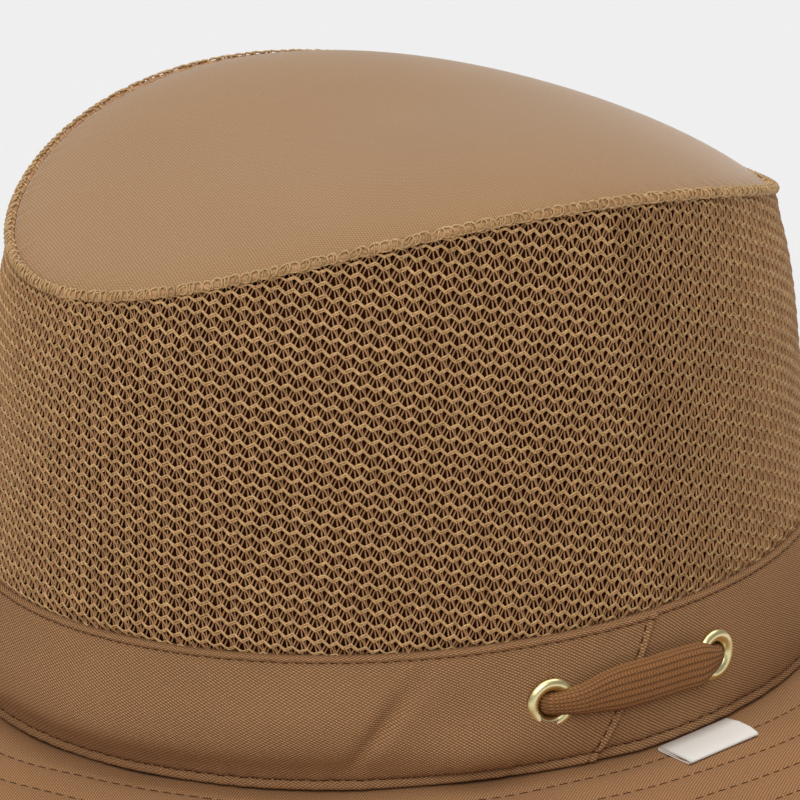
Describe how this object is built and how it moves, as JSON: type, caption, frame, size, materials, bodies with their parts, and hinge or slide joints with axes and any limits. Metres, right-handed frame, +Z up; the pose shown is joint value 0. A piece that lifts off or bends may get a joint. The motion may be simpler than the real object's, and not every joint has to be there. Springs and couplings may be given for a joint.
{
  "type": "wide-brim hat",
  "caption": "Wide-brim cloth hat with an open-knit crown, a domed tip, a stitched band with brass eyelets, a flat braided chin cord and a bare side label.",
  "frame": {"origin": "on the surface the hat stands on, under the middle of the crown", "axes": "+Z up, -Y towards the front of the hat, +X towards the wearer's left side"},
  "size_m": [0.3128, 0.348, 0.1415],
  "materials": {
    "brim_cloth": "matte tan twill, doubled and quilted with rings of stitching",
    "band_cloth": "matte brown twill, folded at both edges and stitched",
    "tip_cloth": "matte light brown twill",
    "knit": "open warp knit of shiny tan yarn",
    "braid": "flat tubular braid, dark brown",
    "brass": "satin light gold",
    "label_tape": "ivory woven tape, folded once"
  },
  "bodies": {
    "root": {"brim": "brim_cloth", "hat_band": "band_cloth", "crown_mesh": "knit", "tip_seam": "knit", "crown_tip": "tip_cloth", "eyelet_front_left": "brass", "eyelet_back_left": "brass", "eyelet_front_right": "brass", "eyelet_back_right": "brass", "cord_bridge_left": "braid", "cord_bridge_right": "braid", "cord_front_run": "braid", "cord_back_run": "braid", "side_label": "label_tape"}
  },
  "joints": []
}
